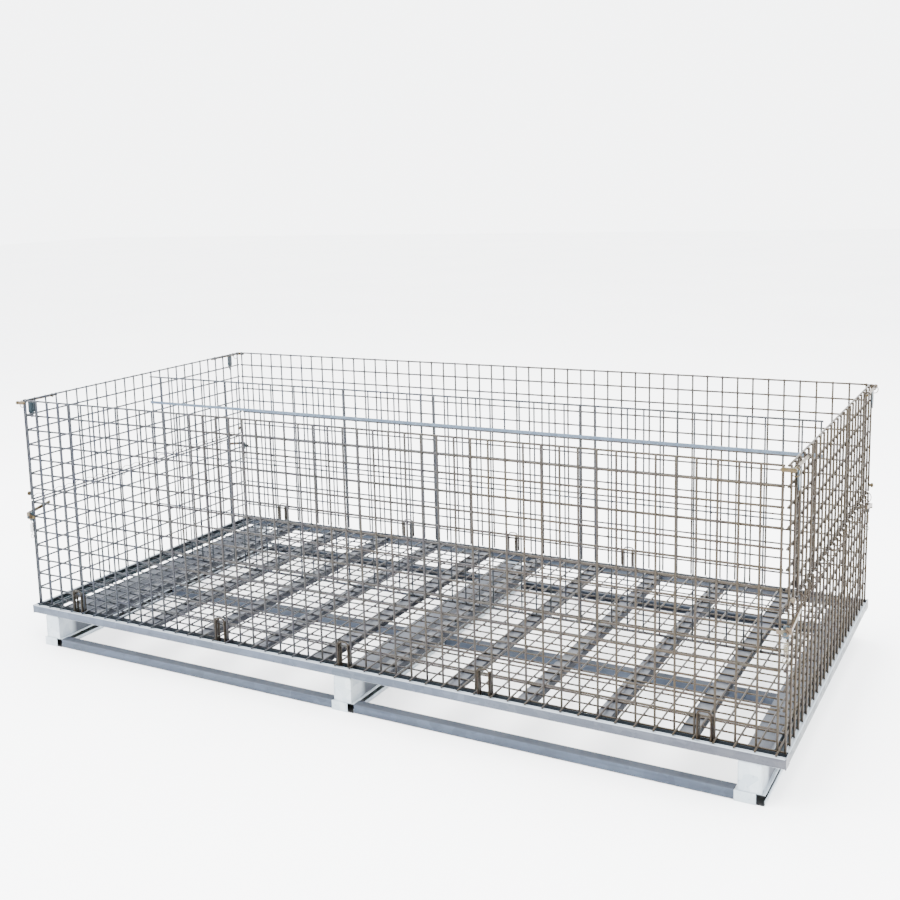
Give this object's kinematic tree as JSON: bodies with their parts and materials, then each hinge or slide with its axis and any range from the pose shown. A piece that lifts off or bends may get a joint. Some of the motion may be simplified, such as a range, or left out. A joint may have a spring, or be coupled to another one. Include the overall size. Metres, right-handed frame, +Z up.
{
  "type": "wire mesh container",
  "caption": "Long folding steel wire mesh container on a channel pallet base, with a lengthwise divider, half-drop end gates and corner latches.",
  "frame": {"origin": "on the ground under the middle of the base", "axes": "+X along the length, +Y to the back, +Z up"},
  "size_m": [2.5262, 1.23, 0.845],
  "materials": {
    "galvanised_sheet": "bright hot-dip galvanised sheet with faint spangle",
    "runner_steel": "duller blue-grey galvanised sheet",
    "floor_steel": "grey galvanised strip",
    "mesh_wire": "zinc plated drawn wire, dull",
    "divider_wire": "zinc plated drawn wire, bluish",
    "divider_strap": "blue-grey flat strip",
    "hinge_wire": "zinc plated wire with a warm tint",
    "yellow_zinc": "pale yellow passivated zinc on steel",
    "tab_steel": "blue-grey zinc plated plate"
  },
  "bodies": {
    "base": {"front_rail": "galvanised_sheet", "rear_rail": "galvanised_sheet", "left_rail": "galvanised_sheet", "right_rail": "galvanised_sheet", "rail_end_caps": "galvanised_sheet", "left_bearer": "galvanised_sheet", "centre_bearer": "galvanised_sheet", "right_bearer": "galvanised_sheet", "bearer_end_plates": "galvanised_sheet", "skids": "galvanised_sheet", "skid_end_plates": "galvanised_sheet", "ground_runners": "runner_steel", "floor_channels": "floor_steel", "floor_long_wires": "mesh_wire", "floor_cross_wires": "mesh_wire", "front_hinge_loops": "hinge_wire", "rear_hinge_loops": "hinge_wire", "left_lower_uprights": "mesh_wire", "left_lower_rows": "mesh_wire", "right_lower_uprights": "mesh_wire", "right_lower_rows": "mesh_wire", "left_hinge_rings": "hinge_wire", "right_hinge_rings": "hinge_wire", "front_left_latch_boss": "galvanised_sheet", "rear_left_latch_boss": "galvanised_sheet", "front_right_latch_boss": "galvanised_sheet", "rear_right_latch_boss": "galvanised_sheet"},
    "front_panel": {"front_panel_uprights": "mesh_wire", "front_panel_rows": "mesh_wire"},
    "rear_panel": {"rear_panel_uprights": "mesh_wire", "rear_panel_rows": "mesh_wire"},
    "divider": {"divider_uprights": "divider_wire", "divider_rows": "divider_wire", "divider_top_wire": "divider_wire", "divider_strap": "divider_strap"},
    "left_gate": {"left_gate_uprights": "mesh_wire", "left_gate_rows": "mesh_wire", "left_gate_hinge_wire": "mesh_wire", "left_rod_holders": "hinge_wire"},
    "right_gate": {"right_gate_uprights": "mesh_wire", "right_gate_rows": "mesh_wire", "right_gate_hinge_wire": "mesh_wire", "right_rod_holders": "hinge_wire"},
    "front_left_top_latch": {"front_left_latch_hook": "yellow_zinc", "front_left_latch_tab": "tab_steel"},
    "front_left_side_latch": {"front_left_latch_lever": "yellow_zinc", "front_left_latch_knob": "yellow_zinc"},
    "rear_left_top_latch": {"rear_left_latch_hook": "yellow_zinc", "rear_left_latch_tab": "tab_steel"},
    "rear_left_side_latch": {"rear_left_latch_lever": "yellow_zinc", "rear_left_latch_knob": "yellow_zinc"},
    "front_right_top_latch": {"front_right_latch_hook": "yellow_zinc", "front_right_latch_tab": "tab_steel"},
    "front_right_side_latch": {"front_right_latch_lever": "yellow_zinc", "front_right_latch_knob": "yellow_zinc"},
    "rear_right_top_latch": {"rear_right_latch_hook": "yellow_zinc", "rear_right_latch_tab": "tab_steel"},
    "rear_right_side_latch": {"rear_right_latch_lever": "yellow_zinc", "rear_right_latch_knob": "yellow_zinc"}
  },
  "joints": [
    {"name": "front_panel_fold", "type": "hinge", "parent": "base", "child": "front_panel", "pos_m": [0, -0.59095, 0.192], "axis": [-1, 0, 0], "range_deg": [0, 90]},
    {"name": "rear_panel_fold", "type": "hinge", "parent": "base", "child": "rear_panel", "pos_m": [0, 0.59095, 0.192], "axis": [1, 0, 0], "range_deg": [0, 85.5]},
    {"name": "divider_lift", "type": "slide", "parent": "base", "child": "divider", "axis": [0, 0, 1], "range_m": [0, 0.5655]},
    {"name": "left_gate_drop", "type": "hinge", "parent": "base", "child": "left_gate", "pos_m": [-1.24605, 0, 0.497], "axis": [0, -1, 0], "range_deg": [0, 150]},
    {"name": "right_gate_drop", "type": "hinge", "parent": "base", "child": "right_gate", "pos_m": [1.24605, 0, 0.497], "axis": [0, 1, 0], "range_deg": [0, 150]},
    {"name": "front_left_top_latch_turn", "type": "hinge", "parent": "left_gate", "child": "front_left_top_latch", "pos_m": [-1.25155, -0.52, 0.836], "axis": [0, 1, 0], "range_deg": [0, 90]},
    {"name": "front_left_side_latch_turn", "type": "hinge", "parent": "base", "child": "front_left_side_latch", "pos_m": [-1.24, -0.603, 0.443], "axis": [0, -1, 0], "range_deg": [0, 75]},
    {"name": "rear_left_top_latch_turn", "type": "hinge", "parent": "left_gate", "child": "rear_left_top_latch", "pos_m": [-1.25155, 0.52, 0.836], "axis": [0, 1, 0], "range_deg": [0, 90]},
    {"name": "rear_left_side_latch_turn", "type": "hinge", "parent": "base", "child": "rear_left_side_latch", "pos_m": [-1.24, 0.603, 0.443], "axis": [0, -1, 0], "range_deg": [0, 75]},
    {"name": "front_right_top_latch_turn", "type": "hinge", "parent": "right_gate", "child": "front_right_top_latch", "pos_m": [1.25155, -0.52, 0.836], "axis": [0, -1, 0], "range_deg": [0, 90]},
    {"name": "front_right_side_latch_turn", "type": "hinge", "parent": "base", "child": "front_right_side_latch", "pos_m": [1.24, -0.603, 0.443], "axis": [0, 1, 0], "range_deg": [0, 75]},
    {"name": "rear_right_top_latch_turn", "type": "hinge", "parent": "right_gate", "child": "rear_right_top_latch", "pos_m": [1.25155, 0.52, 0.836], "axis": [0, -1, 0], "range_deg": [0, 90]},
    {"name": "rear_right_side_latch_turn", "type": "hinge", "parent": "base", "child": "rear_right_side_latch", "pos_m": [1.24, 0.603, 0.443], "axis": [0, 1, 0], "range_deg": [0, 75]}
  ],
  "couplings": [
    {"joint": "rear_panel_fold", "follows": "front_panel_fold", "ratio": 0.95},
    {"joint": "divider_lift", "follows": "front_panel_fold", "m_per_rad": 0.36}
  ]
}
